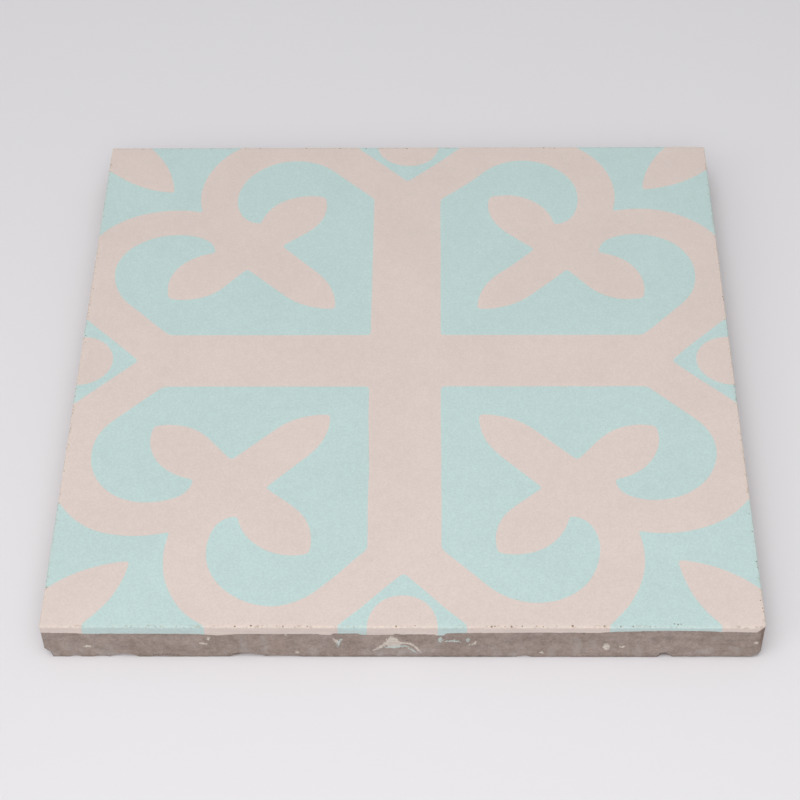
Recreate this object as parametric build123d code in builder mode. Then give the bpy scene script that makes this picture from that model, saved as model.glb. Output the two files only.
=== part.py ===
from build123d import *
from math import asin, degrees, sqrt
import os

# Square encaustic cement tile, in millimetres. +Z is up, the origin is the middle of the
# bedding face, and the chipped front edge is at -Y.
# The grey backing mortar carries a face layer of pink and mint mortar. The colours go right
# through that layer with upright sides, so each colour is a set of solids that fit together.

# Tile
tile_side = 200.0
tile_thickness = 14.0
face_depth = 2.4  # coloured mortar over the backing
corner_radius = 0.8  # upright corners, worn round
arris = 0.5  # bevel round the face

# Cross in the middle, and the cut diamonds and discs at the middle of each side
cross_width = 21.7
diamond_reach = 18.0  # from the tile's side to the diamond's tip
disc_radius = 10.2

# Pair of lobes in each quarter, mirrored over the quarter's diagonal
rim_width = 7.6  # pink between a lobe and the tile's side
lobe_radius = 18.6
lobe_spacing = 51.3  # between the two centres
lobe_sweep = 161.0  # degrees
curl_radius = 7.3  # the lobe's inner end, where it curls in
curl_sweep = 90.0  # degrees
loop_radius = 29.0  # outer side of the pink loop round a lobe
loop_shift = 2.6  # loop centre from lobe centre, along the diagonal

# Three-petalled flower in each quarter, on the diagonal
flower_inset = 49.1  # flower centre from the tile's sides
petal_neck = 7.5  # half width of a petal where it leaves the flower
centre_petal_reach = 40.5
centre_petal_width = 14.5
centre_petal_radius = 21.7
side_petal_reach = 33.8
side_petal_width = 17.0
side_petal_radius = 16.2

# Petal in each corner of the tile
corner_petal_reach = 31.7  # tip to the tile's corner
corner_petal_width = 17.2
corner_petal_radius = 35.9

# Damage along the lower front edge
left_break = (3.0, 3.4, 4.7)  # broken corner: along X, along Y, up
right_break = (2.6, 2.8, 3.9)
edge_chips = [(-78.0, 7.8, 0.9), (-42.3, 10.0, 0.9), (34.0, 3.9, 0.4), (73.6, 3.4, 0.9)]  # X, length, height

half_side = tile_side / 2
half_diagonal = half_side * sqrt(2)
backing_height = tile_thickness - face_depth


def petal_bow(width, radius):
    """How far a petal's two arcs have their centres across its axis, and half its length."""
    across = radius - width / 2
    return across, sqrt(radius**2 - across**2)


def touching_point(start, centre, radius, turn):
    """Where a line from start touches a circle, passing it on the left (1) or right (-1)."""
    to_centre = Vector(centre) - Vector(start)
    lean = degrees(asin(radius / to_centre.length))
    line_length = sqrt(to_centre.length**2 - radius**2)
    return Vector(start) + to_centre.normalized().rotate(Axis.Z, turn * lean) * line_length


# One quarter of the mint areas, drawn with X along the tile's diagonal
cross_corner = cross_width / 2 * sqrt(2)
lobe_x = (half_side - rim_width - lobe_radius) * sqrt(2) - lobe_spacing / 2
lobe_y = lobe_spacing / 2
field_y = lobe_y + lobe_radius
loop_x = lobe_x + loop_shift
loop_cusp = loop_x + sqrt(loop_radius**2 - lobe_y**2)

flower_x = half_diagonal - flower_inset * sqrt(2)
notch = (flower_x - petal_neck, petal_neck)
centre_tip = (flower_x - centre_petal_reach, 0)
centre_across, centre_half_length = petal_bow(centre_petal_width, centre_petal_radius)
side_tip = (flower_x, side_petal_reach)
side_across, side_half_length = petal_bow(side_petal_width, side_petal_radius)
side_middle = side_petal_reach - side_half_length
corner_across, corner_half_length = petal_bow(corner_petal_width, corner_petal_radius)
corner_petal_x = half_diagonal - corner_petal_reach + corner_half_length

with BuildSketch() as quarter_field:
    with BuildLine():
        cross_side = Line((cross_corner, 0), (cross_corner + field_y, field_y))
        cut_corner = Line(cross_side @ 1, (lobe_x, field_y))
        lobe = JernArc(cut_corner @ 1, cut_corner % 1, lobe_radius, -lobe_sweep)
        curl = JernArc(lobe @ 1, lobe % 1, curl_radius, -curl_sweep)
        Polyline(curl @ 1, (flower_x, petal_neck), (flower_x, 0))
        mirror(about=Plane.XZ)
    make_face()

with BuildSketch() as flower:
    with BuildLine():
        centre_bow = (centre_tip[0] + centre_half_length, -centre_across)
        centre_neck = Line(notch, touching_point(notch, centre_bow, centre_petal_radius, -1))
        TangentArc(centre_neck @ 1, centre_tip, tangent=centre_neck % 1)
        side_bow = (flower_x + side_across, side_middle)
        side_neck = Line(notch, touching_point(notch, side_bow, side_petal_radius, 1))
        TangentArc(side_neck @ 1, side_tip, tangent=side_neck % 1)
        outer_side = ThreePointArc(
            side_tip,
            (flower_x + side_petal_width / 2, side_middle),
            (flower_x, side_middle - side_half_length),
        )
        Line(outer_side @ 1, (flower_x, 0))
        mirror(about=Plane.XZ)
    make_face()
    with Locations((flower_x, 0)):
        Rectangle(2 * petal_neck, 2 * petal_neck)

with BuildSketch() as corner_cell:
    with Locations((loop_cusp, 0)):
        Rectangle(half_diagonal, tile_side, align=(Align.MIN, Align.CENTER))
    with Locations((loop_x, lobe_y), (loop_x, -lobe_y)):
        Circle(loop_radius, mode=Mode.SUBTRACT)

with BuildSketch() as corner_petal:
    with Locations((corner_petal_x, corner_across)):
        Circle(corner_petal_radius)
    with Locations((corner_petal_x, -corner_across)):
        Circle(corner_petal_radius, mode=Mode.INTERSECT)

# The whole mint pattern, a little larger than the tile where it runs off the sides
with BuildSketch() as mint_pattern:
    with PolarLocations(half_side, 4):
        Rectangle(diamond_reach * sqrt(2), diamond_reach * sqrt(2), rotation=45)
        Circle(disc_radius, mode=Mode.SUBTRACT)
    with PolarLocations(0, 4, start_angle=45):
        add(quarter_field.sketch)
        add(flower.sketch, mode=Mode.SUBTRACT)
        add(corner_cell.sketch)
        add(corner_petal.sketch, mode=Mode.SUBTRACT)

# The face layer before it is parted into colours
with BuildPart() as face_layer:
    with BuildSketch(Plane.XY.offset(backing_height)):
        RectangleRounded(tile_side, tile_side, corner_radius)
    extrude(amount=face_depth)
    chamfer(face_layer.edges().group_by(Axis.Z)[-1], arris)

with BuildPart() as mint_inlay:
    add(mint_pattern.sketch)
    extrude(amount=2 * tile_thickness)
    add(face_layer.part, mode=Mode.INTERSECT)

with BuildPart() as pink_inlay:
    add(face_layer.part)
    add(mint_inlay.part, mode=Mode.SUBTRACT)


def broken_corner(x_side, reach):
    """Plane across a lower front corner, facing the tile."""
    along_x, along_y, up = reach
    corner = Vector(x_side * half_side, -half_side, up)
    return Plane(origin=corner, z_dir=(-x_side / along_x, 1 / along_y, 1 / up))


with BuildPart() as backing_mortar:
    with BuildSketch():
        RectangleRounded(tile_side, tile_side, corner_radius)
    extrude(amount=backing_height)
    for chip_x, chip_length, chip_height in edge_chips:
        outside = ((chip_length / 2) ** 2 - chip_height**2) / (2 * chip_height)
        scoop_radius = sqrt((chip_length / 2) ** 2 + 2 * outside**2)
        with Locations((chip_x, -half_side - outside, -outside)):
            Sphere(scoop_radius, mode=Mode.SUBTRACT)
    split(bisect_by=broken_corner(-1, left_break), keep=Keep.TOP)
    split(bisect_by=broken_corner(1, right_break), keep=Keep.TOP)

os.makedirs("parts", exist_ok=True)

backing_mortar.part.label = "backing_mortar"
export_step(backing_mortar.part, "parts/backing_mortar.step")

pink_inlay.part.label = "pink_inlay"
export_step(pink_inlay.part, "parts/pink_inlay.step")

mint_inlay.part.label = "mint_inlay"
export_step(mint_inlay.part, "parts/mint_inlay.step")
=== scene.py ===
import itertools
import random
from math import cos, hypot, pi, radians, sin, sqrt

import bmesh
import bpy
import numpy as np
from mathutils import Matrix, Vector, kdtree, noise


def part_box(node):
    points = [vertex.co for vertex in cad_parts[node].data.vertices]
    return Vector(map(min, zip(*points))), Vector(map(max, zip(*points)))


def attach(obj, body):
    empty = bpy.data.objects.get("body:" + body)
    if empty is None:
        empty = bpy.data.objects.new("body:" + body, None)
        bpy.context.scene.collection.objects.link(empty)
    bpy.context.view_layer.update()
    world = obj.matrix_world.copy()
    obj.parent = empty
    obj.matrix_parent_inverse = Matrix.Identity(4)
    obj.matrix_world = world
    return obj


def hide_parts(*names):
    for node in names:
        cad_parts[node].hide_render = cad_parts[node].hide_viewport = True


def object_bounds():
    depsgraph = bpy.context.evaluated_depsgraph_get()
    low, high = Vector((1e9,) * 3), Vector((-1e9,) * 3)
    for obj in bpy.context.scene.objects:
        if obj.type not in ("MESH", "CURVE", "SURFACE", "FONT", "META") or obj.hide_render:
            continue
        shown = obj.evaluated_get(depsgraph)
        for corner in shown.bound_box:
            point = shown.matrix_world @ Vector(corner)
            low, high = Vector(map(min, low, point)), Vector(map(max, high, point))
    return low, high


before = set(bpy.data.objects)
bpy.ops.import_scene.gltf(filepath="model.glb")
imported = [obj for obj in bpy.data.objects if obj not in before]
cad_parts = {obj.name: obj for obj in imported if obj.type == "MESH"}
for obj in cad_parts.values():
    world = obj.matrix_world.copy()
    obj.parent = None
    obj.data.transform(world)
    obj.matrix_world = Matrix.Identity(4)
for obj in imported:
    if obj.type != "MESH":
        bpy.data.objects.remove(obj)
cad_low, cad_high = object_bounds()

# Meshes are worked out in millimetres and written in metres
MM = 0.001
HALF = cad_high.x / MM
TOP = cad_high.z / MM
FACE_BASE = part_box("mint_inlay")[0].z / MM

# Colours as sRGB values from 0 to 255
PINK = (222, 207, 200)
MINT = (194, 216, 214)
GREY = (159, 144, 137)
BROWN_GREY = (151, 136, 127)
BLOOM = (184, 175, 171)
PALE_SLURRY = (216, 207, 196)
MINT_SLURRY = (195, 207, 202)
HAZE = (183, 175, 172)
# painted shade for the hollows of the chips
HOLLOW_SHADE = (104, 91, 85)
WORN_PINK = (230, 214, 200)
WORN_MINT = (203, 216, 210)
PINK_GRIME = (184, 164, 148)
MINT_GRIME = (170, 178, 168)
# dirt with painted shade in pits and pin-holes
PINK_PIT_DIRT_AND_SHADE = (146, 116, 92)
MINT_PIT_DIRT_AND_SHADE = (150, 138, 120)
# dirt with painted shade at the worn front right corner
CORNER_DIRT_AND_SHADE = (130, 110, 99)
EDGE_DULL = (184, 170, 162)
DARK_SAND = (96, 84, 78)
FLOOR = (232, 230, 233)

# Tile edges
FRONT_STEP = 0.3  # between points along the front edge
SIDE_STEP = 0.6  # and along the other edges
CORNER_RADII = (0.6, 1.5, 0.8, 0.8)  # upright corners: front left, front right, back right, back left
CORNER_POINTS = 6
SIDE_ROWS = 34
BEVEL_STEPS = 4
CAP_INSETS = (4.0, 1.6)  # rings on the flat faces
BAND_INSET = 0.02  # the coloured band stands this far behind the tile's outline
MORTAR_INSET = 0.1  # and the rough mortar under it this far
LEAST_MORTAR_INSET = 0.03
LEAST_INSET = 0.002  # nothing stands out further than this
FRONT_ZONE = 1.0  # points this close to the front belong to the front edge
FRONT_FACING = -0.7  # and so do outward normals whose Y is below this
LEVEL = 0.9999  # upward part of a normal beyond which a face counts as flat
SHARP_ANGLE = 38.0  # degrees between two faces beyond which their edge is shaded sharp
UNDERSIDE_CELL = 20.0  # side of the underside's cells, each with one pore
UNDERSIDE_CELLS = 9  # cells in a row

# Unevenness of the edges: mean and range, and the amount, feature size and seed of each wave
ARRIS_WIDTH = 0.42
ARRIS_RANGE = (0.22, 0.8)
ARRIS_WAVES = ((0.14, 7.0, 1), (0.16, 1.6, 2))
LOWER_ROUNDING = 0.15
LOWER_RANGE = (0.05, 0.9)
LOWER_WAVES = ((0.15, 11.0, 3), (0.18, 2.4, 4))
ROUNDER_END = (55, 30, 0.45)  # lower front edge: from which X it is rounder, over what length, how much
BAND_WAVES = ((0.35, 14.0, 6), (0.2, 4.0, 7))  # depth of the coloured band on the other sides
BAND_FOOT_WAVES = ((0.1, 1.3, 5), (0.08, 0.7, 13))
BAND_FOOT_STEP = 0.5  # height over which the side steps back from the band to the mortar
BAND_SIDE_WAVES = ((0.02, 1.5, 8),)
MORTAR_STREAKS = ((0.04, 5.0, 9),)
STREAK_SQUEEZE = 2.5  # how many times longer than high the streaks are
MORTAR_GRAIN = ((0.05, 1.2, 10),)

# Pattern as poured, a little off the tile's centre
PATTERN_OFFSET = (0.1, 0.85)
POUR_STEP = 0.5  # between points along an outline
POUR_SOFTENING = 6  # rounds of smoothing, which soften the corners
POUR_WAVES = ((0.09, 9.0, 11), (0.045, 2.2, 12))  # wander: amount, feature size and seed
RUN_OFF = 3.0  # how far outlines that reach the tile's sides run past them
SIDE_TOLERANCE = 0.01
DOWNWARD = -0.9  # upward part of a normal below which a CAD face belongs to the underside
PRISM_BELOW = 5.0  # how far the pattern's prisms reach past the coloured layer
PRISM_ABOVE = 2.0
KNIFE_LIP = 1.0  # how far in from the sides the coloured layer takes its even depth
KNIFE_OVERLAP = 2.0
# Where the pour strays most from the drawn pattern: X, Y, reach, and the move in X and Y
POUR_STRAYS = (
    (-35, -91, 10, 0.5, -1.3), (-8, -72, 10, 0.7, 0.0), (-8, -45, 10, 0.6, 0.0),
    (-92, -62, 10, 0.0, -1.5), (-68, -76, 10, 0.5, -0.2), (80, -62, 10, -0.4, 0.9),
    (92, -43, 10, -0.6, 1.0), (92, 5, 10, -1.0, -0.3), (90, 40, 10, -0.6, 0.8),
    (38, 52, 10, 0.7, -1.6), (32, 36, 9, 1.0, -0.2), (19, 86, 10, 0.3, -1.5),
    (-88, 45, 10, -1.0, 0.3), (-81, 80, 10, 0.4, -1.1), (-49, 88, 10, 0.7, -0.2),
    (-30, 72, 10, 0.0, -0.7), (-88, -98, 5, -0.7, 0.0), (-59, -96, 5, -0.5, 0.0),
    (-10, -97, 5, 0.5, 0.0), (10, -97, 5, -0.5, 0.0), (57.4, -102.5, 3.1, 3.0, 0.0),
    (66, -99, 4, 1.7, 0.0), (-20, -82, 6, 0.6, -0.4), (55, -80, 6, -0.5, 0.0),
    (-55, -102.5, 2, 1.3, 0.0),
)

# Damage on the lower front edge: X, length, height and depth of each chip
FRONT_CHIPS = (
    (-91.3, 3.6, 0.6, 0.5), (-84.0, 5.0, 0.5, 0.5), (-77.7, 8.5, 1.5, 1.5), (-43.0, 11.0, 1.7, 1.6),
    (-34.5, 15.0, 0.75, 0.75), (34.0, 4.6, 0.8, 0.8), (73.2, 4.6, 2.4, 0.95),
)
# Lower front left corner, broken off in one hollow: how far its middle lies out from the corner in X
# and in Y, how high, and its radius
LEFT_BREAK = (0.6, 0.8, 3.1)
# Lower front right corner, broken off in steps: the reach of each step in X, in Y and up
RIGHT_BREAKS = ((1.2, 1.4, 6.5), (2.2, 2.4, 3.8), (4.2, 3.6, 1.6))
BREAK_RADIUS = 10.0
BREAK_HOLLOW = 0.1
WORN_CORNER = ((10.9, 0.5), (7.6, 0.5))  # front right upright corner: height and depth of wear
WORN_CORNER_RADIUS = 4.0
# Coloured band at that corner: depth left, how far round the corner, and its gain per millimetre
WORN_BAND = (0.45, 1.0, 1.3)
# Roughness of what cuts the damage, and how often the cutters are subdivided
CHIP_ROUGHNESS = 0.14
HIDDEN_CHIP_ROUGHNESS = 0.12
BREAK_ROUGHNESS = 0.2
PIT_ROUGHNESS = 0.05
PORE_ROUGHNESS = 0.08
LUMP_WAVES = ((1.0, 1.8, 0), (0.5, 0.6, 50))  # share of the roughness, feature size and seed
FINE, MEDIUM, COARSE = 5, 4, 2

# Pits in the front arris: X and radius
FRONT_PITS = (
    (-45.9, 0.26), (-41.5, 0.28), (-38.4, 0.16), (-32.7, 0.18), (-25.9, 0.22), (-1.5, 0.24), (3.7, 0.18),
    (24.7, 0.28), (25.6, 0.2), (28.4, 0.2), (30.2, 0.28), (33.1, 0.22), (37.1, 0.16), (38.9, 0.18),
    (42.6, 0.16), (46.9, 0.34), (55.6, 0.26), (60.1, 0.24), (63.5, 0.24), (68.1, 0.18), (69.7, 0.16),
)
# Pits beside the right arris, and a flaw in the front of the face: place along the edge, inset, radius
RIGHT_PITS = ((-90.6, 0.8, 0.22), (-93.3, 0.45, 0.24), (-94.4, 0.25, 0.18))
FACE_FLAW = ((74.8, 1.3, 0.2), (75.8, 1.1, 0.28), (76.7, 1.2, 0.22))
FRONT_PIT_INSETS = (0.2, 0.6)
PIT_SINK = 0.05  # the middle of an arris pit lies this far under the face

# Depth of the coloured band down the front edge, at places along X
FRONT_BAND = (
    (-100, 2.75), (-92, 2.9), (-86, 3.3), (-82, 3.15), (-58, 3.2), (-51, 3.9), (-45, 3.25),
    (-23.2, 3.2), (-22.4, 3.6), (-19.8, 3.65), (-19.0, 3.0), (-12.2, 2.85), (-11.2, 3.5), (-9, 3.6),
    (-4, 3.5), (-2.4, 3.55), (-2.0, 3.15), (-0.8, 3.1), (-0.2, 3.35), (8.8, 3.3), (9.6, 3.75),
    (11.4, 3.8), (12.4, 2.75), (40, 2.4), (54, 2.5), (60, 1.9), (73, 1.5), (83, 1.6), (88, 2.0),
    (96.5, 2.2), (100, 2.1),
)

# Marks like those of the front, guessed for the sides that the photo doesn't show
HIDDEN_SIDES = (1, 2, 3)
STROKES_A_SIDE = 9
STROKE_REACH = 92.0  # from the middle of the side
STROKE_HEIGHTS = (2.5, 9.5)
STROKE_WIDTHS = (0.7, 1.8)
STROKE_ENDS = (0.6, 0.5)  # width of the ends, as shares of the middle's
STROKE_RUNS = (-1.5, 1.5)  # along the side
STROKE_DROPS = (-1.6, 0.2)
STROKE_KINDS = ("pale", "mint", "haze")
CHIPS_A_SIDE = 5
CHIP_STRETCH = 40  # each chip has this length of edge to itself
CHIP_STRAY = 12.0
CHIP_LENGTHS = (3.0, 8.0)
CHIP_HEIGHTS = (0.7, 1.5)
CHIP_DEPTHS = (0.35, 0.8)
PITTED_EDGE = (-86.0, 84.0)  # stretch of each side with arris pits
PIT_SPACINGS = (2.0, 10.0)
PIT_CROWDING = (0.4, 1.0, 3.0)
PIT_INSETS = (0.15, 0.9)
PIT_RADII = (0.1, 0.24)

# Air holes in the backing, one in each cell along a side and in each cell of the underside
PORES_A_SIDE = 14
PORE_CELL = 14
PORE_STRAY = 5.5
PORE_HEIGHTS = (2.0, 9.5)
PORE_RADII = (0.1, 0.26)
UNDERSIDE_STRAY = 8.0
UNDERSIDE_RADII = (0.6, 1.8)
UNDERSIDE_SINK = 0.75  # share of the radius by which the middle of a hole lies below the underside

# Dried slurry on the front edge, and painted shade in its chipped hollows (kind hollow): kind, then X,
# height and width along each stroke
SLURRY_HEIGHT = 0.08
SLURRY_SKIN = 0.6  # slurry is marked on points this close to the sides
SLURRY_WAVES = ((0.3, 0.9, 20),)  # raggedness of a stroke's edge: amount, feature size and seed
SIDES_APART = 31.0  # how far apart in the noise two sides lie
FRONT_SLURRY_AND_SHADE = (
    ("pale", ((-88.3, 4.9, 0.9), (-87.6, 5.0, 1.3), (-87.0, 4.8, 0.9))),
    ("haze", ((-86.9, 11.2, 0.6), (-86.9, 10.2, 0.5), (-86.8, 9.2, 0.3))),
    ("pale", ((-56.2, 6.5, 0.5), (-55.2, 6.3, 1.0), (-54.1, 6.1, 0.5))),
    ("pale", ((-53.8, 7.9, 0.5), (-53.6, 8.6, 0.9), (-53.5, 9.4, 0.4))),
    ("haze", ((-44.5, 10.0, 1.2), (-44.0, 3.0, 1.8))),
    ("haze", ((-38.6, 9.5, 1.0), (-38.0, 4.0, 1.6))),
    ("pale", ((-32.3, 10.4, 0.5), (-31.8, 10.2, 0.5))),
    ("pale", ((-29.6, 2.2, 0.7), (-29.0, 2.2, 0.8))),
    ("haze", ((-22.0, 10.6, 2.0), (-21.2, 9.0, 1.2))),
    ("pale", ((-18.8, 8.4, 0.7), (-18.3, 7.6, 1.2), (-17.8, 6.8, 1.0))),
    ("mint", ((-16.7, 8.4, 0.5), (-17.2, 7.4, 0.9), (-17.7, 6.4, 0.8), (-17.9, 4.6, 0.3))),
    ("haze", ((-10.9, 10.8, 0.5), (-10.7, 8.4, 0.6), (-10.3, 5.7, 0.4))),
    ("pale", ((-2.8, 9.6, 0.6), (-2.7, 8.6, 2.1), (-2.6, 7.3, 3.7), (-2.5, 6.3, 4.0))),
    ("pale", ((-4.4, 6.6, 1.4), (-5.8, 4.9, 1.0), (-8.0, 3.2, 0.4))),
    ("pale", ((-0.6, 6.7, 1.1), (2.1, 6.4, 0.9), (3.4, 5.2, 0.8), (5.1, 2.3, 0.5))),
    ("mint", ((-4.6, 4.6, 0.6), (-2.5, 4.7, 1.3), (-0.7, 5.2, 1.2), (1.4, 5.1, 0.6))),
    ("mint", ((1.8, 4.3, 0.6), (3.2, 3.0, 0.7), (4.2, 2.0, 0.4))),
    ("haze", ((-9.0, 2.0, 1.5), (0.0, 2.0, 2.5), (8.0, 3.0, 2.0))),
    ("mint", ((10.6, 9.0, 1.0), (10.6, 8.1, 1.4), (10.6, 7.4, 1.0))),
    ("haze", ((10.4, 7.0, 1.0), (10.2, 4.0, 1.0))),
    ("mint", ((11.9, 7.2, 0.4), (13.6, 7.7, 0.9), (15.0, 7.5, 0.8), (16.3, 7.0, 0.3))),
    ("mint", ((18.3, 8.7, 0.8), (18.3, 8.1, 1.2), (18.3, 7.5, 0.8))),
    ("pale", ((20.4, 7.3, 0.5), (20.1, 6.5, 0.9), (19.0, 5.9, 0.6), (18.0, 5.6, 0.4))),
    ("pale", ((38.6, 2.2, 0.8), (39.0, 2.2, 0.9))),
    ("haze", ((48.0, 8.5, 2.0), (49.5, 4.0, 3.5))),
    ("haze", ((52.5, 8.0, 1.4), (53.0, 5.0, 2.0))),
    ("pale", ((56.7, 5.6, 1.6), (56.7, 4.9, 2.1), (56.7, 4.2, 1.5))),
    ("pale", ((60.6, 5.0, 0.7), (61.4, 5.0, 0.8))),
    ("haze", ((85.6, 9.0, 0.8), (86.6, 9.0, 1.2), (87.6, 9.1, 0.8))),
    ("haze", ((82.0, 3.0, 1.4), (85.0, 2.6, 1.5))),
    ("haze", ((91.0, 4.4, 1.2), (94.0, 4.1, 1.4))),
    ("pale", ((97.8, 7.0, 1.1), (98.1, 6.9, 1.2))),
    ("haze", ((97.9, 12.0, 0.7), (98.5, 10.0, 0.6), (98.6, 8.5, 0.4))),
    # hollow strokes: painted shade in and under the chips of the lower front edge
    ("hollow", ((-70.0, 0.9, 0.3), (-66.0, 1.2, 0.5), (-62.0, 0.9, 0.3))),
    ("hollow", ((-48.5, 1.1, 0.3), (-46.0, 1.6, 0.6), (-43.0, 2.0, 0.4))),
    ("hollow", ((71.2, 0.7, 0.8), (72.4, 1.4, 1.7), (73.0, 1.6, 1.8), (73.8, 1.2, 1.0))),
)
# How each kind covers the mortar: how fully, and how soft its edge is
SLURRY_AND_SHADE_KINDS = {"pale": (1.0, 0.7), "mint": (1.0, 0.7), "haze": (0.4, 1.4), "hollow": (1.0, 0.8)}

# Camera fitted to the photo
CAMERA_LENS = 95.5
CAMERA_SENSOR = 36.0
CAMERA_DISTANCE = 0.6395
CAMERA_AIM = (-0.00136, -0.01555, TOP * MM)
CAMERA_ELEVATION = 47.663
CAMERA_YAW = 1.426
CAMERA_ROLL = -1.092

# Floor and light, in metres and watts
FLOOR_REACH = 6.0
FLOOR_DROP = 0.0001  # the floor lies this far under the tile, so that the two share no plane
EVEN_LIGHT = 0.3915
# Soft lamps: name, place, side and power
LAMPS = (
    ("overhead", (-0.3, -0.3, 2.2), 1.5, 9.73),
    ("far_left", (-1.6, -1.2, 1.2), 1.2, 6.6),
    ("front", (0, -0.75, 0.7), 0.6, 1.91),
    ("near_front", (0, -0.3, 0.6), 0.6, 1.3),
)

SEED = 4


def linear(colour):
    """An sRGB colour from 0 to 255 as linear red, green and blue."""
    share = [value / 255 for value in colour]
    return [c / 12.92 if c <= 0.04045 else ((c + 0.055) / 1.055) ** 2.4 for c in share]


def wobble(x, y, z, size, seed):
    """Smooth noise from -1 to 1 with features of about that size, each seed far from the others."""
    return noise.noise(Vector((x / size + 17.3 * seed, y / size - 9.1 * seed, z / size + 3.7 * seed)))


def uneven(value, waves, x, y, z=0.0):
    """The value with waves of noise added, each with its amount, feature size and seed."""
    for amount, size, seed in waves:
        value += amount * wobble(x, y, z, size, seed)
    return value


def clamp(value, low, high):
    return min(high, max(low, value))


def link(name, data):
    made = bpy.data.objects.new(name, data)
    bpy.context.scene.collection.objects.link(made)
    return made


def new_object(name, vertices, faces):
    """An object from points in millimetres, with doubled points merged."""
    mesh = bpy.data.meshes.new(name)
    mesh.from_pydata([Vector(v) * MM for v in vertices], [], faces)
    shape = bmesh.new()
    shape.from_mesh(mesh)
    bmesh.ops.remove_doubles(shape, verts=shape.verts, dist=1e-7)
    bmesh.ops.recalc_face_normals(shape, faces=shape.faces)
    shape.to_mesh(mesh)
    shape.free()
    return link(name, mesh)


def cut(target, cutter, operation):
    """Cuts one object with another and keeps the result as the target's own mesh."""
    modifier = target.modifiers.new("cut", "BOOLEAN")
    modifier.solver = "MANIFOLD"
    modifier.operation = operation
    modifier.object = cutter
    depsgraph = bpy.context.evaluated_depsgraph_get()
    mesh = bpy.data.meshes.new_from_object(target.evaluated_get(depsgraph))
    target.modifiers.remove(modifier)
    target.data = mesh


def discard(*objects):
    for item in objects:
        bpy.data.objects.remove(item)


# Outline of the tile

def perimeter():
    """Points round the tile and their outward normals, counter-clockwise from the front left corner."""
    points, normals = [], []
    for side in range(4):
        start_radius = CORNER_RADII[side]
        end_radius = CORNER_RADII[(side + 1) % 4]
        length = 2 * HALF - start_radius - end_radius
        count = int(length / (FRONT_STEP if side == 0 else SIDE_STEP))
        turn = Matrix.Rotation(side * pi / 2, 2)
        for k in range(count):
            points.append(turn @ Vector((-HALF + start_radius + length * k / count, -HALF)))
            normals.append(turn @ Vector((0, -1)))
        middle = Vector((HALF - end_radius, -HALF + end_radius))
        for k in range(CORNER_POINTS):
            angle = -pi / 2 + pi / 2 * k / CORNER_POINTS
            outward = Vector((cos(angle), sin(angle)))
            points.append(turn @ (middle + outward * end_radius))
            normals.append(turn @ outward)
    return np.array(points), np.array(normals)


RIM_POINTS, RIM_NORMALS = perimeter()


def ring(inset, height):
    """One ring of points round the tile, set in from its sides. Both values may vary round it."""
    inset = np.broadcast_to(inset, len(RIM_POINTS))
    height = np.broadcast_to(height, len(RIM_POINTS))
    moved = RIM_POINTS - RIM_NORMALS * inset[:, None]
    limit = (HALF - inset)[:, None]
    square = np.clip(RIM_POINTS, -limit, limit)
    deep = (inset > max(CORNER_RADII))[:, None]
    return np.column_stack([np.where(deep, square, moved), height])


def ring_solid(name, rings):
    """A closed solid from rings of points, from the top one to the lowest one."""
    count = len(RIM_POINTS)
    vertices = np.concatenate(rings).tolist()
    faces = [list(range(count)), list(range((len(rings) - 1) * count, len(rings) * count))]
    for row in range(len(rings) - 1):
        for k in range(count):
            a, b = row * count + k, row * count + (k + 1) % count
            faces.append([a, a + count, b + count, b])
    return new_object(name, vertices, faces)


def side_places(x, y):
    """The side each point is nearest to, 0 for the front and on round, and its place along it."""
    side = np.argmax([-y, x, y, -x], axis=0)
    along = np.choose(side, [x, y, -x, -y])
    return side, along


def on_edge(side, along, inset, height):
    """A point beside a side of the tile, as a vector."""
    return Matrix.Rotation(side * pi / 2, 3, "Z") @ Vector((along, -HALF + inset, height))


def arris_width(x, y):
    """Worn bevel round the face, uneven along the edge."""
    return clamp(uneven(ARRIS_WIDTH, ARRIS_WAVES, x, y), *ARRIS_RANGE)


def lower_wear(x, y):
    """Rounding of the lower edge, rougher than the arris and rounder at the right end of the front."""
    worn = uneven(LOWER_ROUNDING, LOWER_WAVES, x, y)
    if y < FRONT_ZONE - HALF:
        start, length, more = ROUNDER_END
        worn += more * clamp((x - start) / length, 0.0, 1.0)
    return clamp(worn, *LOWER_RANGE)


def band_depth(x, y, normal):
    """How far the coloured mortar reaches down the side at a point of the rim."""
    if normal[1] < FRONT_FACING:
        places, depths = zip(*FRONT_BAND)
        depth = float(np.interp(x, places, depths))
    else:
        depth = uneven(TOP - FACE_BASE, BAND_WAVES, x, y)
    least, reach, gain = WORN_BAND
    from_corner = hypot(x - HALF, y + HALF)
    worn = min(depth, least + gain * max(0.0, from_corner - reach))
    return uneven(worn, BAND_FOOT_WAVES, x, y)


def side_inset(x, y, z, band_foot):
    """Roughness of the upright sides. The mortar under the coloured band stands back a little."""
    smooth = uneven(BAND_INSET, BAND_SIDE_WAVES, x, y, z)
    streaked = uneven(MORTAR_INSET, MORTAR_STREAKS, x, y, z * STREAK_SQUEEZE)
    rough = max(uneven(streaked, MORTAR_GRAIN, x, y, z), LEAST_MORTAR_INSET)
    share = clamp((band_foot - z) / BAND_FOOT_STEP + 0.5, 0.0, 1.0)
    return smooth + (rough - smooth) * share


# Dried slurry on the sides, and painted shade in chipped hollows

def hidden_strokes(draw):
    """A few like marks on the sides that the photo doesn't show."""
    strokes = []
    for side in HIDDEN_SIDES:
        for _ in range(STROKES_A_SIDE):
            x = draw.uniform(-STROKE_REACH, STROKE_REACH)
            z, width = draw.uniform(*STROKE_HEIGHTS), draw.uniform(*STROKE_WIDTHS)
            dx, dz = draw.uniform(*STROKE_RUNS), draw.uniform(*STROKE_DROPS)
            first, last = (share * width for share in STROKE_ENDS)
            points = ((x, z, first), (x + dx / 2, z + dz / 2, width), (x + dx, z + dz, last))
            strokes.append((draw.choice(STROKE_KINDS), side, points))
    return strokes


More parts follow.
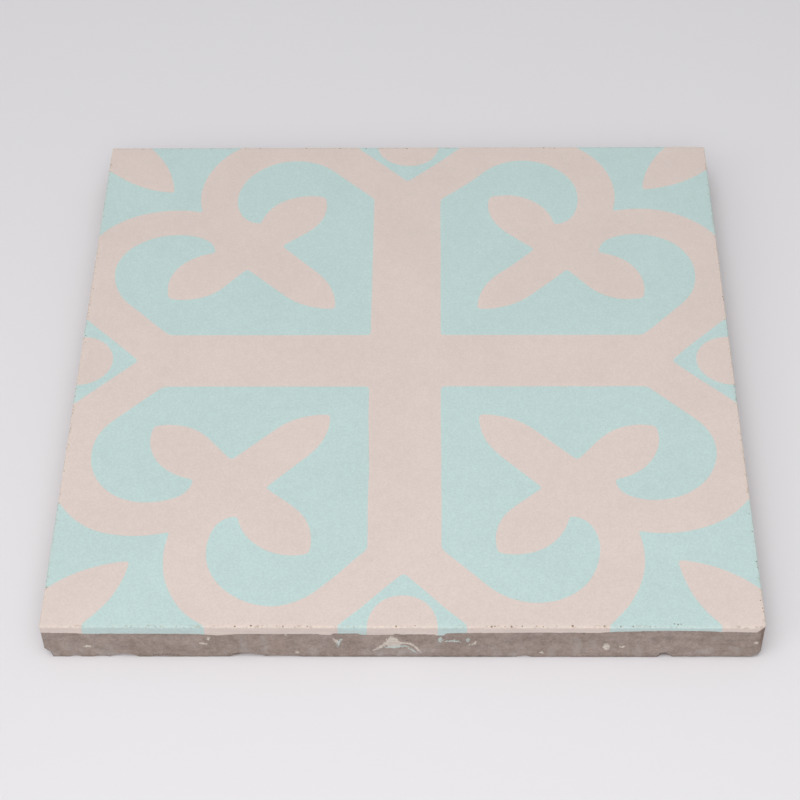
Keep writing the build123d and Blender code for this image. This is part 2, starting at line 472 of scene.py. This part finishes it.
def slurry_and_shade_cover(x, y, z):
    """How fully each kind of slurry, and the painted shade in hollows, covers points on the upright
    sides, from 0 to 1.
    """
    cover = {kind: np.zeros(len(x)) for kind in SLURRY_AND_SHADE_KINDS}
    side, along = side_places(x, y)
    places = zip(along, z, SIDES_APART * side)
    ragged = np.array([uneven(1.0, SLURRY_WAVES, *place) for place in places])
    for kind, stroke_side, points in STROKES:
        fullness, softness = SLURRY_AND_SHADE_KINDS[kind]
        for (x0, z0, w0), (x1, z1, w1) in zip(points, points[1:]):
            dx, dz = x1 - x0, z1 - z0
            share = np.clip(((along - x0) * dx + (z - z0) * dz) / (dx * dx + dz * dz), 0, 1)
            distance = np.hypot(along - x0 - share * dx, z - z0 - share * dz)
            reach = 0.5 * (w0 + share * (w1 - w0)) * ragged
            solid = np.clip((reach - distance) / softness + 0.5, 0, 1) * (side == stroke_side)
            cover[kind] = np.maximum(cover[kind], fullness * solid)
    return cover


# The tile in one piece, and the knife that parts its face layer from the backing

def tile_blank():
    """The whole tile with worn edges and rough sides, before it is parted into mortars."""
    arris = np.array([arris_width(*p) for p in RIM_POINTS])
    lower = np.array([lower_wear(*p) for p in RIM_POINTS])
    foot = TOP - BAND_DEPTHS
    rings = [ring(inset, TOP) for inset in CAP_INSETS]
    bevel = [pi / 2 * k / BEVEL_STEPS for k in range(BEVEL_STEPS + 1)]
    for angle in bevel:
        rings.append(ring(BAND_INSET + arris * (1 - sin(angle)), TOP - arris * (1 - cos(angle))))
    for row in range(1, SIDE_ROWS):
        heights = (TOP - arris) + (lower - TOP + arris) * row / SIDE_ROWS
        insets = np.array([side_inset(*p, z, f) for p, z, f in zip(RIM_POINTS, heights, foot)])
        cover = slurry_and_shade_cover(RIM_POINTS[:, 0], RIM_POINTS[:, 1], heights)
        raised = SLURRY_HEIGHT * np.maximum(cover["pale"], cover["mint"])
        rings.append(ring(np.maximum(insets - raised, LEAST_INSET), heights))
    for angle in bevel:
        rings.append(ring(MORTAR_INSET + lower * (1 - cos(angle)), lower * (1 - sin(angle))))
    rings.extend(ring(inset, 0.0) for inset in reversed(CAP_INSETS))
    return ring_solid("tile", rings)


def part_underside(tile):
    """Parts the underside into square cells, so that each pore lies in a cell of its own."""
    shape = bmesh.new()
    shape.from_mesh(tile.data)
    for axis in (Vector((1, 0, 0)), Vector((0, 1, 0))):
        for line in range(UNDERSIDE_CELLS + 1):
            under = [face for face in shape.faces if face.normal.z < -LEVEL]
            edges = dict.fromkeys(edge for face in under for edge in face.edges)
            vertices = dict.fromkeys(vertex for face in under for vertex in face.verts)
            place = axis * (line - UNDERSIDE_CELLS / 2) * UNDERSIDE_CELL * MM
            cells = [*under, *edges, *vertices]
            bmesh.ops.bisect_plane(shape, geom=cells, plane_co=place, plane_no=axis)
    shape.to_mesh(tile.data)
    shape.free()


def backing_knife():
    """Solid that holds everything under the coloured layer."""
    foot = TOP - BAND_DEPTHS
    rings = [ring(CAP_INSETS[0], FACE_BASE), ring(KNIFE_LIP, foot), ring(-KNIFE_OVERLAP, foot)]
    rings.extend(ring(inset, -KNIFE_OVERLAP) for inset in (-KNIFE_OVERLAP, CAP_INSETS[0]))
    return ring_solid("backing_knife", rings)


# Pattern, read from the outlines of the CAD model's mint node

def node_outlines(node):
    """Closed outlines of a node's underside, in millimetres."""
    shape = bmesh.new()
    shape.from_mesh(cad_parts[node].data)
    bmesh.ops.remove_doubles(shape, verts=shape.verts, dist=1e-6)
    shape.normal_update()
    under = dict.fromkeys(face for face in shape.faces if face.normal.z < DOWNWARD)
    following = {}
    for face in under:
        for loop in face.loops:
            if sum(other in under for other in loop.edge.link_faces) == 1:
                following[loop.vert] = loop.link_loop_next.vert
    outlines = []
    while following:
        outline, vertex = [], next(iter(following))
        while vertex in following:
            outline.append(Vector((vertex.co.x, vertex.co.y)) / MM)
            vertex = following.pop(vertex)
        outlines.append(outline[::-1])
    shape.free()
    return outlines


def on_side(point):
    return max(abs(point.x), abs(point.y)) > HALF - SIDE_TOLERANCE


def run_off(outline):
    """Carries an outline that ends at the tile's side straight past it."""
    longer = []
    for k, point in enumerate(outline):
        before, after = outline[k - 1], outline[(k + 1) % len(outline)]
        outside = point.copy()
        axis = 0 if abs(point.x) > abs(point.y) else 1
        outside[axis] += RUN_OFF if point[axis] > 0 else -RUN_OFF
        if not on_side(point):
            longer.append(point)
        elif on_side(before) and on_side(after):
            longer.append(outside)
        elif on_side(after):
            longer.extend([point, outside])
        else:
            longer.extend([outside, point])
    return longer


def poured_line(outline):
    """The outline as poured mortar leaves it: close points, soft corners and a slight wander."""
    fine = []
    for k, point in enumerate(outline):
        after = outline[(k + 1) % len(outline)]
        pieces = max(1, round((after - point).length / POUR_STEP))
        fine.extend(point.lerp(after, n / pieces) for n in range(pieces))
    line = np.array(fine)
    for _ in range(POUR_SOFTENING):
        line = (np.roll(line, 1, 0) + 2 * line + np.roll(line, -1, 0)) / 4
    tangent = np.roll(line, -1, 0) - np.roll(line, 1, 0)
    tangent /= np.linalg.norm(tangent, axis=1)[:, None]
    sideways = np.column_stack([tangent[:, 1], -tangent[:, 0]])
    drift = [uneven(0.0, POUR_WAVES, x, y) for x, y in line]
    poured = line + sideways * np.array(drift)[:, None] + PATTERN_OFFSET
    for x, y, reach, move_x, move_y in POUR_STRAYS:
        share = np.exp(-((line - (x, y)) ** 2).sum(1) / (2 * reach**2))
        poured += share[:, None] * (move_x, move_y)
    return poured


def pattern_prisms(outlines):
    """Upright prisms over the mint areas, taller than the coloured layer."""
    vertices, faces = [], []
    for outline in outlines:
        line = poured_line(run_off(outline))
        start, count = len(vertices), len(line)
        vertices.extend([*p, FACE_BASE - PRISM_BELOW] for p in line)
        vertices.extend([*p, TOP + PRISM_ABOVE] for p in line)
        faces.append(list(range(start, start + count)))
        faces.append(list(range(start + count, start + 2 * count)))
        for k in range(count):
            a, b = start + k, start + (k + 1) % count
            faces.append([a, b, b + count, a + count])
    return new_object("pattern_prisms", vertices, faces)


# Chips, breaks and pits, cut by rough lumps that are each a centre and a radius

def lumps(name, places, detail, rough):
    """Rough round lumps as one cutter. They don't touch each other."""
    shape = bmesh.new()
    for k, (centre, radius) in enumerate(places):
        waves = [(rough * share, size, seed + k) for share, size, seed in LUMP_WAVES]
        made = bmesh.ops.create_icosphere(shape, subdivisions=detail, radius=1.0)
        for vertex in made["verts"]:
            spot = vertex.co * radius
            vertex.co = (centre + vertex.co * uneven(radius, waves, *spot)) * MM
    mesh = bpy.data.meshes.new(name)
    shape.to_mesh(mesh)
    shape.free()
    return link(name, mesh)


def chip(side, along, length, height, depth):
    """Lump that leaves a chip of that length, height and depth in a lower edge."""
    slope = hypot(height, depth)
    bite = height * depth / slope
    radius = ((length / 2) ** 2 + bite**2) / (2 * bite)
    outside = radius - bite
    inset = MORTAR_INSET - outside * height / slope
    return on_edge(side, along, inset, -outside * depth / slope), radius


def left_break():
    """Lump that breaks the lower front left corner off in one hollow."""
    out, height, radius = LEFT_BREAK
    return Vector((-HALF - out, -HALF - out, height)), radius


def right_break(reach_x, reach_y, reach_up):
    """Lump that breaks the lower front right corner off along the plane through its three reaches."""
    outward = Vector((1 / reach_x, -1 / reach_y, -1 / reach_up)).normalized()
    middle = Vector((HALF, -HALF, 0)) + Vector((-reach_x, reach_y, reach_up)) / 3
    return middle + outward * (BREAK_RADIUS - BREAK_HOLLOW), BREAK_RADIUS


def corner_wear(height, depth):
    """Lump that wears the front right upright corner at one height."""
    outward = Vector((1, -1, 0)).normalized()
    corner = Vector((HALF, -HALF, height)) - outward * CORNER_RADII[1] * (sqrt(2) - 1)
    return corner + outward * (WORN_CORNER_RADIUS - depth), WORN_CORNER_RADIUS


def cell_middles(count, length):
    """Middles of a row of cells of that length, with the row's own middle at zero."""
    return [(k - (count - 1) / 2) * length for k in range(count)]


def hidden_chips(draw):
    """Small chips along the lower edges that the photo doesn't show, one in each stretch of edge."""
    places = []
    for side in HIDDEN_SIDES:
        for middle in cell_middles(CHIPS_A_SIDE, CHIP_STRETCH):
            along = middle + draw.uniform(-CHIP_STRAY, CHIP_STRAY)
            size = [draw.uniform(*limits) for limits in (CHIP_LENGTHS, CHIP_HEIGHTS, CHIP_DEPTHS)]
            places.append(chip(side, along, *size))
    return places


def arris_pits(draw):
    """Tiny pits along the arris, those of the front edge where the photo shows them."""
    places = []
    for x, radius in FRONT_PITS:
        places.append((on_edge(0, x, draw.uniform(*FRONT_PIT_INSETS), TOP - PIT_SINK), radius))
    for side, pits_there in ((1, RIGHT_PITS), (0, FACE_FLAW)):
        for along, inset, radius in pits_there:
            places.append((on_edge(side, along, inset, TOP), radius))
    for side in HIDDEN_SIDES:
        along, end = PITTED_EDGE
        while along < end:
            along += draw.uniform(*PIT_SPACINGS) * draw.choice(PIT_CROWDING)
            place = on_edge(side, along, draw.uniform(*PIT_INSETS), TOP - PIT_SINK)
            places.append((place, draw.uniform(*PIT_RADII)))
    return places


def mortar_pores(draw):
    """Air holes in the sides and the underside of the backing, one in each cell of a loose grid."""
    places = []
    for side in range(4):
        for middle in cell_middles(PORES_A_SIDE, PORE_CELL):
            along = middle + draw.uniform(-PORE_STRAY, PORE_STRAY)
            place = on_edge(side, along, MORTAR_INSET, draw.uniform(*PORE_HEIGHTS))
            places.append((place, draw.uniform(*PORE_RADII)))
    middles = cell_middles(UNDERSIDE_CELLS, UNDERSIDE_CELL)
    for cell in itertools.product(middles, middles):
        x, y = (middle + draw.uniform(-UNDERSIDE_STRAY, UNDERSIDE_STRAY) for middle in cell)
        radius = draw.uniform(*UNDERSIDE_RADII)
        places.append((Vector((x, y, -UNDERSIDE_SINK * radius)), radius))
    return places


def mark_pits(piece, places):
    """Marks the faces inside pits, where dirt has settled and shade is painted."""
    tree = kdtree.KDTree(len(places))
    for k, (centre, _) in enumerate(places):
        tree.insert(centre * MM, k)
    tree.balance()
    pit = piece.data.attributes.new("pit", "FLOAT", "FACE")
    vertices = piece.data.vertices
    for face in piece.data.polygons:
        _, nearest, _ = tree.find(face.center)
        centre, radius = places[nearest]
        reach = max((vertices[k].co - centre * MM).length for k in face.vertices)
        pit.data[face.index].value = float(reach < (radius + PIT_ROUGHNESS) * MM)


def mark_slurry_and_shade(piece):
    """Marks how fully slurry, and the painted shade in hollows, covers each point of the backing's
    sides.
    """
    points = np.empty(len(piece.data.vertices) * 3)
    piece.data.vertices.foreach_get("co", points)
    x, y, z = points.reshape(-1, 3).T / MM
    outside = np.maximum(np.abs(x), np.abs(y)) > HALF - SLURRY_SKIN
    for kind, cover in slurry_and_shade_cover(x, y, z).items():
        mark = piece.data.attributes.new(f"{kind}_slurry", "FLOAT", "POINT")
        mark.data.foreach_set("value", cover * outside)


# Materials

class Nodes:
    """Short ways to add and join shader nodes."""

    def __init__(self, name):
        self.material = bpy.data.materials.new(name)
        self.material.use_nodes = True
        self.tree = self.material.node_tree
        self.shader = self.tree.nodes["Principled BSDF"]
        self.place = self.add("ShaderNodeTexCoord").outputs["Object"]

    def add(self, kind, **settings):
        node = self.tree.nodes.new(kind)
        for key, value in settings.items():
            setattr(node, key, value)
        return node

    def plug(self, socket, value):
        if isinstance(value, bpy.types.NodeSocket):
            self.tree.links.new(value, socket)
        else:
            socket.default_value = value

    def math(self, operation, a, b=0.0):
        node = self.add("ShaderNodeMath", operation=operation)
        self.plug(node.inputs[0], a)
        self.plug(node.inputs[1], b)
        return node.outputs[0]

    def ramp(self, value, low, high, out_low=0.0, out_high=1.0):
        node = self.add("ShaderNodeMapRange", interpolation_type="SMOOTHSTEP")
        for socket, item in zip(node.inputs, (value, low, high, out_low, out_high)):
            self.plug(socket, item)
        return node.outputs[0]

    def noise(self, size, detail=2.0, rough=0.5, stretch=(1, 1, 1)):
        """Noise from 0 to 1 with features of about that size in millimetres."""
        scaled = self.add("ShaderNodeVectorMath", operation="MULTIPLY")
        self.plug(scaled.inputs[0], self.place)
        scaled.inputs[1].default_value = [s / (size * MM) for s in stretch]
        node = self.add("ShaderNodeTexNoise")
        self.plug(node.inputs["Vector"], scaled.outputs[0])
        node.inputs["Scale"].default_value = 1.0
        node.inputs["Detail"].default_value = detail
        node.inputs["Roughness"].default_value = rough
        return node.outputs["Fac"]

    def specks(self, spacing, radius, share):
        """Round specks on a share of the cells of a scatter, from 0 to 1."""
        node = self.add("ShaderNodeTexVoronoi", feature="F1")
        self.plug(node.inputs["Vector"], self.place)
        node.inputs["Scale"].default_value = 1 / (spacing * MM)
        parts = self.add("ShaderNodeSeparateColor")
        self.plug(parts.inputs[0], node.outputs["Color"])
        chosen = self.math("LESS_THAN", parts.outputs[0], share)
        size = self.ramp(parts.outputs[1], 0.0, 1.0, 0.5 * radius / spacing, radius / spacing)
        disc = self.ramp(node.outputs["Distance"], size, self.math("MULTIPLY", size, 0.4))
        return self.math("MULTIPLY", disc, chosen)

    def mark(self, name):
        """A value that was marked on the mesh."""
        return self.add("ShaderNodeAttribute", attribute_name=name).outputs["Fac"]

    def mix(self, share, a, b):
        node = self.add("ShaderNodeMix", data_type="RGBA")
        self.plug(node.inputs["Factor"], share)
        for socket, value in ((node.inputs[6], a), (node.inputs[7], b)):
            self.plug(socket, value if isinstance(value, bpy.types.NodeSocket) else [*value, 1.0])
        return node.outputs[2]

    def over(self, base, colour, *shares):
        """Lays a colour over the base, as fully as the product of the shares."""
        share = shares[0]
        for factor in shares[1:]:
            share = self.math("MULTIPLY", share, factor)
        return self.mix(share, base, linear(colour))

    def scaled(self, colour, factor):
        """The colour times a factor that may differ from place to place."""
        node = self.add("ShaderNodeVectorMath", operation="SCALE")
        self.plug(node.inputs[0], colour)
        self.plug(node.inputs["Scale"], factor)
        return node.outputs[0]

    def height_and_edge(self):
        """Height above the floor and distance from the nearest side of the tile, in millimetres."""
        node = self.add("ShaderNodeSeparateXYZ")
        self.plug(node.inputs[0], self.place)
        x, y = (self.math("ABSOLUTE", node.outputs[axis]) for axis in "XY")
        across = self.math("DIVIDE", self.math("MAXIMUM", x, y), MM)
        return self.math("DIVIDE", node.outputs["Z"], MM), self.math("SUBTRACT", HALF, across)

    def from_upright(self, x, y):
        """Distance from the upright line at X and Y, in millimetres."""
        flat = self.add("ShaderNodeVectorMath", operation="MULTIPLY")
        self.plug(flat.inputs[0], self.place)
        flat.inputs[1].default_value = (1, 1, 0)
        apart = self.add("ShaderNodeVectorMath", operation="DISTANCE")
        self.plug(apart.inputs[0], flat.outputs[0])
        apart.inputs[1].default_value = (x * MM, y * MM, 0)
        return self.math("DIVIDE", apart.outputs["Value"], MM)

    def finish(self, colour, roughness, relief, depth):
        self.plug(self.shader.inputs["Base Color"], colour)
        self.plug(self.shader.inputs["Roughness"], roughness)
        self.shader.inputs["Specular IOR Level"].default_value = 0.25
        bump = self.add("ShaderNodeBump")
        bump.inputs["Distance"].default_value = depth * MM
        self.plug(bump.inputs["Height"], relief)
        self.plug(self.shader.inputs["Normal"], bump.outputs["Normal"])
        return self.material


def face_mortar(name, colour, worn, grime, pits, grit):
    """Matt pigmented cement: faint clouds, sandy grain, pin-holes, a worn arris, a dulled edge, and pits
    darkened with dirt and painted shade.
    """
    n = Nodes(name)
    height, edge = n.height_and_edge()
    grain = n.noise(0.55, 3.0, 0.6)
    pin_holes = n.specks(4.5, 0.3, 0.14)
    clouds = n.ramp(n.noise(22.0, 4.0, 0.55), 0.3, 0.7, 0.985, 1.015)
    smudges = n.ramp(n.noise(3.0, 3.0, 0.6), 0.3, 0.7, 0.012, -0.012)
    shade = n.math("ADD", n.math("ADD", clouds, smudges), n.ramp(grain, 0.2, 0.8, -grit, grit))
    base = n.scaled(linear(colour), shade)

    arris = n.math("MULTIPLY", n.ramp(edge, 1.1, 0.4), n.ramp(height, TOP - 0.9, TOP - 0.25))
    base = n.over(base, worn, arris, n.ramp(n.noise(0.8, 3.0), 0.4, 0.66, 0.0, 0.8))
    stretches = n.ramp(n.noise(9.0, 2.0), 0.4, 0.62, 0.2, 1.0)
    base = n.over(base, grime, arris, stretches, n.ramp(n.noise(0.9, 3.0), 0.48, 0.68, 0.0, 0.7))
    band = n.math("MULTIPLY", n.ramp(edge, 0.5, 0.15), n.ramp(height, TOP - 0.45, TOP - 0.8))
    streaks = n.noise(5.0, 4.0, 0.6, (0.35, 0.35, 4.0))
    base = n.over(base, EDGE_DULL, band, n.ramp(streaks, 0.3, 0.7, 0.0, 0.28))
    # pin-holes and pits take the pits' colour: dirt with painted shade
    base = n.over(base, pits, pin_holes, 0.25)
    base = n.over(base, pits, n.mark("pit"), 0.8)

    relief = n.math("SUBTRACT", n.math("MULTIPLY", grain, 0.5), pin_holes)
    return n.finish(base, n.ramp(grain, 0.2, 0.8, 0.80, 0.93), relief, depth=0.05)


def backing_mortar():
    """Brownish grey sandy mortar with streaks along the mould's side, a pale bloom and dried slurry;
    painted shade along the foot and in the chips' hollows, and dirt with painted shade at the worn front
    right corner.
    """
    n = Nodes("grey_mortar")
    height, edge = n.height_and_edge()
    grain = n.noise(0.6, 3.0, 0.65)
    mottle = n.noise(2.2, 4.0, 0.6)
    streaks = n.noise(7.0, 5.0, 0.6, (0.45, 0.45, 1.6))
    shade = n.math("ADD", n.ramp(streaks, 0.3, 0.7, 0.95, 1.05), n.ramp(mottle, 0.3, 0.7, -0.11, 0.11))
    shade = n.math("ADD", shade, n.ramp(grain, 0.25, 0.75, -0.17, 0.17))
    # painted shade along the foot of the sides, darkest next to the floor
    painted_foot_shade = n.math("MULTIPLY", n.ramp(edge, 2.0, 1.0), n.ramp(height, 1.2, 0.1, 0.0, 0.22))
    shade = n.math("SUBTRACT", shade, painted_foot_shade)
    clouds = n.ramp(n.noise(11.0, 4.0, 0.6), 0.35, 0.65)
    base = n.scaled(n.mix(clouds, linear(GREY), linear(BROWN_GREY)), shade)

    low = n.ramp(height, 8.0, 1.0)
    drifts = n.noise(6.0, 4.0, 0.6, (1.2, 1.2, 0.8))
    base = n.over(base, BLOOM, low, n.ramp(drifts, 0.48, 0.7, 0.0, 0.45))
    dark_sand = n.specks(1.4, 0.3, 0.12)
    base = n.over(base, PALE_SLURRY, n.specks(1.8, 0.35, 0.10), 0.3)
    base = n.over(base, DARK_SAND, dark_sand, 0.35)
    # darker at the worn front right upright corner: dirt with painted shade
    corner = n.math("MULTIPLY", n.ramp(n.from_upright(HALF, -HALF), 2.6, 1.0), n.ramp(height, 3.0, 9.0))
    base = n.over(base, CORNER_DIRT_AND_SHADE, corner, n.ramp(n.noise(0.9, 3.0), 0.3, 0.6, 0.4, 1.0))
    runs = n.ramp(n.noise(1.6, 3.0, 0.6, (1, 1, 0.35)), 0.3, 0.65, 0.2, 1.0)
    base = n.over(base, HAZE, n.mark("haze_slurry"), runs)
    ragged = n.ramp(n.noise(0.42, 3.0), 0.25, 0.75, -0.45, 0.45)
    patchy = n.ramp(n.noise(0.9, 3.0), 0.25, 0.6, 0.5, 1.0)
    # hollow is painted shade in the chips' hollows; pale and mint are dried slurry
    for kind, colour in (("hollow", HOLLOW_SHADE), ("pale", PALE_SLURRY), ("mint", MINT_SLURRY)):
        share = n.ramp(n.math("ADD", n.mark(f"{kind}_slurry"), ragged), 0.42, 0.72, 0.0, 0.92)
        base = n.over(base, colour, share, patchy)

    relief = n.math("ADD", n.math("MULTIPLY", grain, 0.6), n.math("SUBTRACT", streaks, dark_sand))
    return n.finish(base, n.ramp(grain, 0.2, 0.8, 0.84, 0.97), relief, depth=0.10)


def dress(piece, node, material):
    """Gives a finished piece its material, its shading and its place in the frame."""
    piece.data.materials.clear()
    piece.data.materials.append(material)
    curved = [abs(face.normal.z) < LEVEL for face in piece.data.polygons]
    piece.data.polygons.foreach_set("use_smooth", curved)
    piece.data.set_sharp_from_angle(angle=radians(SHARP_ANGLE))
    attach(piece, "root")
    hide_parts(node)


# The tile

draw = random.Random(SEED)
STROKES = [(kind, 0, points) for kind, points in FRONT_SLURRY_AND_SHADE] + hidden_strokes(draw)
BAND_DEPTHS = np.array([band_depth(*p, n) for p, n in zip(RIM_POINTS, RIM_NORMALS)])

tile = tile_blank()
part_underside(tile)
pits = arris_pits(draw)
unseen_chips = hidden_chips(draw)
for damage in (
    *(lumps("front_chip", [chip(0, *place)], FINE, CHIP_ROUGHNESS) for place in FRONT_CHIPS),
    lumps("hidden_chips", unseen_chips[::2], MEDIUM, HIDDEN_CHIP_ROUGHNESS),
    lumps("hidden_chips", unseen_chips[1::2], MEDIUM, HIDDEN_CHIP_ROUGHNESS),
    lumps("left_break", [left_break()], FINE, BREAK_ROUGHNESS),
    *(lumps("right_break", [right_break(*reach)], FINE, BREAK_ROUGHNESS) for reach in RIGHT_BREAKS),
    *(lumps("corner_wear", [corner_wear(*place)], MEDIUM, CHIP_ROUGHNESS) for place in WORN_CORNER),
    lumps("arris_pits", pits, COARSE, PIT_ROUGHNESS),
    lumps("mortar_pores", mortar_pores(draw), COARSE, PORE_ROUGHNESS),
):
    cut(tile, damage, "DIFFERENCE")
    discard(damage)

knife = backing_knife()
backing = link("backing", tile.data.copy())
cut(backing, knife, "INTERSECT")
cut(tile, knife, "DIFFERENCE")

prisms = pattern_prisms(node_outlines("mint_inlay"))
mint_face = link("mint_face", tile.data.copy())
cut(mint_face, prisms, "INTERSECT")
pink_face = link("pink_face", tile.data.copy())
cut(pink_face, prisms, "DIFFERENCE")
discard(tile, knife, prisms)

mark_slurry_and_shade(backing)
mark_pits(pink_face, pits)
mark_pits(mint_face, pits)
dress(backing, "backing_mortar", backing_mortar())
pink_mortar = face_mortar("pink_mortar", PINK, WORN_PINK, PINK_GRIME, PINK_PIT_DIRT_AND_SHADE, grit=0.05)
mint_mortar = face_mortar("mint_mortar", MINT, WORN_MINT, MINT_GRIME, MINT_PIT_DIRT_AND_SHADE, grit=0.07)
dress(pink_face, "pink_inlay", pink_mortar)
dress(mint_face, "mint_inlay", mint_mortar)


# Floor, light and camera

def floor():
    """Pale floor under the tile."""
    mesh = bpy.data.meshes.new("floor")
    corners = [(FLOOR_REACH * x, FLOOR_REACH * y, 0) for x, y in ((-1, -1), (1, -1), (1, 1), (-1, 1))]
    mesh.from_pydata(corners, [], [(0, 1, 2, 3)])
    material = bpy.data.materials.new("floor")
    material.use_nodes = True
    shader = material.node_tree.nodes["Principled BSDF"]
    shader.inputs["Base Color"].default_value = [*linear(FLOOR), 1.0]
    shader.inputs["Roughness"].default_value = 0.9
    shader.inputs["Specular IOR Level"].default_value = 0.1
    mesh.materials.append(material)
    plane = link("floor", mesh)
    plane.location.z = -FLOOR_DROP


def softbox(name, place, size, watts):
    """Square soft lamp that looks at the tile."""
    lamp = bpy.data.lights.new(name, "AREA")
    lamp.energy = watts
    lamp.size = size
    made = link(name, lamp)
    made.location = place
    made.rotation_mode = "QUATERNION"
    made.rotation_quaternion = (-Vector(place)).to_track_quat("-Z", "Y")


def surroundings(strength):
    """Even light from all round, and the floor's own colour where the camera sees past it."""
    world = bpy.data.worlds.new("surroundings")
    world.use_nodes = True
    tree = world.node_tree
    light = tree.nodes["Background"]
    light.inputs["Color"].default_value = (1.0, 1.0, 1.0, 1.0)
    light.inputs["Strength"].default_value = strength
    backdrop = tree.nodes.new("ShaderNodeBackground")
    backdrop.inputs["Color"].default_value = [*linear(FLOOR), 1.0]
    path = tree.nodes.new("ShaderNodeLightPath")
    mix = tree.nodes.new("ShaderNodeMixShader")
    tree.links.new(path.outputs["Is Camera Ray"], mix.inputs["Fac"])
    tree.links.new(light.outputs["Background"], mix.inputs[1])
    tree.links.new(backdrop.outputs["Background"], mix.inputs[2])
    tree.links.new(mix.outputs["Shader"], tree.nodes["World Output"].inputs["Surface"])
    bpy.context.scene.world = world


def camera():
    """Camera that looks at the tile as the photo does."""
    elevation, yaw, roll = (radians(a) for a in (CAMERA_ELEVATION, CAMERA_YAW, CAMERA_ROLL))
    back = Vector((sin(yaw) * cos(elevation), -cos(yaw) * cos(elevation), sin(elevation)))
    level = Vector((cos(yaw), sin(yaw), 0))
    up = back.cross(level)
    across = cos(roll) * level + sin(roll) * up
    upward = cos(roll) * up - sin(roll) * level
    data = bpy.data.cameras.new("camera")
    data.lens = CAMERA_LENS
    data.sensor_width = CAMERA_SENSOR
    place = Matrix((across, upward, back)).transposed().to_4x4()
    place.translation = Vector(CAMERA_AIM) + back * CAMERA_DISTANCE
    made = link("camera", data)
    made.matrix_world = place
    bpy.context.scene.camera = made


floor()
surroundings(EVEN_LIGHT)
for lamp in LAMPS:
    softbox(*lamp)
camera()
bpy.context.scene.view_settings.view_transform = "Standard"
